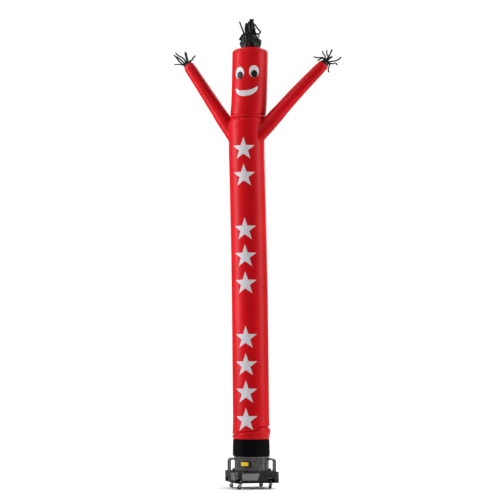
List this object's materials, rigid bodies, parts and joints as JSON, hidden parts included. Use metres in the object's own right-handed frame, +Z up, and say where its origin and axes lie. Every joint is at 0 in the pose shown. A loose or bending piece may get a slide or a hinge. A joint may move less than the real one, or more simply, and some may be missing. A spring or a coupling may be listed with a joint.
{
  "type": "inflatable air dancer on a fan blower",
  "caption": "Tall inflated nylon tube figure with a smiling face, raised arms and streamer tassels, sleeved over the drum of a square wheeled fan blower.",
  "frame": {"origin": "on the floor, under the middle of the whole part's box", "axes": "+Z up along the inflated tube, the face looks along -Y, the arms spread along X"},
  "size_m": [2.1867, 0.7296, 5.9619],
  "materials": {
    "red_nylon": "glossy coated nylon, red",
    "black_nylon": "coated nylon, near black",
    "streamer_nylon": "thin flagging nylon, charcoal black",
    "white_nylon": "white nylon patch",
    "grey_steel": "dark grey powder coat",
    "drum_steel": "satin grey hammered paint",
    "rail_steel": "satin tube",
    "guard_mesh": "light grey guard sheet",
    "plate_black": "dark plate",
    "caster_zinc": "bright zinc plate",
    "wheel_rubber": "black rubber"
  },
  "bodies": {
    "dancer_on_blower": {"body_tube": "red_nylon", "head_tube": "red_nylon", "crown": "red_nylon", "arm_left": "red_nylon", "arm_right": "red_nylon", "base_sleeve": "black_nylon", "pupil_left": "black_nylon", "pupil_right": "black_nylon", "hair_collar": "streamer_nylon", "hair": "streamer_nylon", "cuff_left": "streamer_nylon", "hand_left": "streamer_nylon", "cuff_right": "streamer_nylon", "hand_right": "streamer_nylon", "eye_left": "white_nylon", "eye_right": "white_nylon", "mouth": "white_nylon", "blower_housing": "grey_steel", "caster_frame": "grey_steel", "fan_drum": "drum_steel", "rail_left_front": "rail_steel", "rail_left_back": "rail_steel", "rail_right_front": "rail_steel", "rail_right_back": "rail_steel", "bracket_left": "rail_steel", "bracket_right": "rail_steel", "guard_front": "guard_mesh", "guard_back": "guard_mesh", "guard_left": "guard_mesh", "guard_right": "guard_mesh", "rating_plate": "plate_black", "nut_front_left": "caster_zinc", "nut_front_right": "caster_zinc", "nut_back_left": "caster_zinc", "nut_back_right": "caster_zinc"},
    "swivel_front_left": {"fork_front_left": "caster_zinc"},
    "roller_front_left": {"wheel_front_left": "wheel_rubber"},
    "swivel_front_right": {"fork_front_right": "caster_zinc"},
    "roller_front_right": {"wheel_front_right": "wheel_rubber"},
    "swivel_back_left": {"fork_back_left": "caster_zinc"},
    "roller_back_left": {"wheel_back_left": "wheel_rubber"},
    "swivel_back_right": {"fork_back_right": "caster_zinc"},
    "roller_back_right": {"wheel_back_right": "wheel_rubber"}
  },
  "joints": [
    {"name": "swivel_front_left", "type": "hinge", "parent": "dancer_on_blower", "child": "swivel_front_left", "pos_m": [-0.16208, -0.25848, 0.0762], "axis": [0, 0, 1], "continuous": true},
    {"name": "roll_front_left", "type": "hinge", "parent": "swivel_front_left", "child": "roller_front_left", "pos_m": [-0.17899, -0.26463, 0.02648], "axis": [0.342, -0.9397, 0], "continuous": true},
    {"name": "swivel_front_right", "type": "hinge", "parent": "dancer_on_blower", "child": "swivel_front_right", "pos_m": [0.19048, -0.09408, 0.0762], "axis": [0, 0, 1], "continuous": true},
    {"name": "roll_front_right", "type": "hinge", "parent": "swivel_front_right", "child": "roller_front_right", "pos_m": [0.17669, -0.08251, 0.02648], "axis": [-0.6428, -0.766, 0], "continuous": true},
    {"name": "swivel_back_left", "type": "hinge", "parent": "dancer_on_blower", "child": "swivel_back_left", "pos_m": [-0.32648, 0.09408, 0.0762], "axis": [0, 0, 1], "continuous": true},
    {"name": "roll_back_left", "type": "hinge", "parent": "swivel_back_left", "child": "roller_back_left", "pos_m": [-0.34443, 0.09533, 0.02648], "axis": [-0.0698, -0.9976, 0], "continuous": true},
    {"name": "swivel_back_right", "type": "hinge", "parent": "dancer_on_blower", "child": "swivel_back_right", "pos_m": [0.02608, 0.25848, 0.0762], "axis": [0, 0, 1], "continuous": true},
    {"name": "roll_back_right", "type": "hinge", "parent": "swivel_back_right", "child": "roller_back_right", "pos_m": [0.00825, 0.26098, 0.02648], "axis": [-0.1392, -0.9903, 0], "continuous": true}
  ]
}
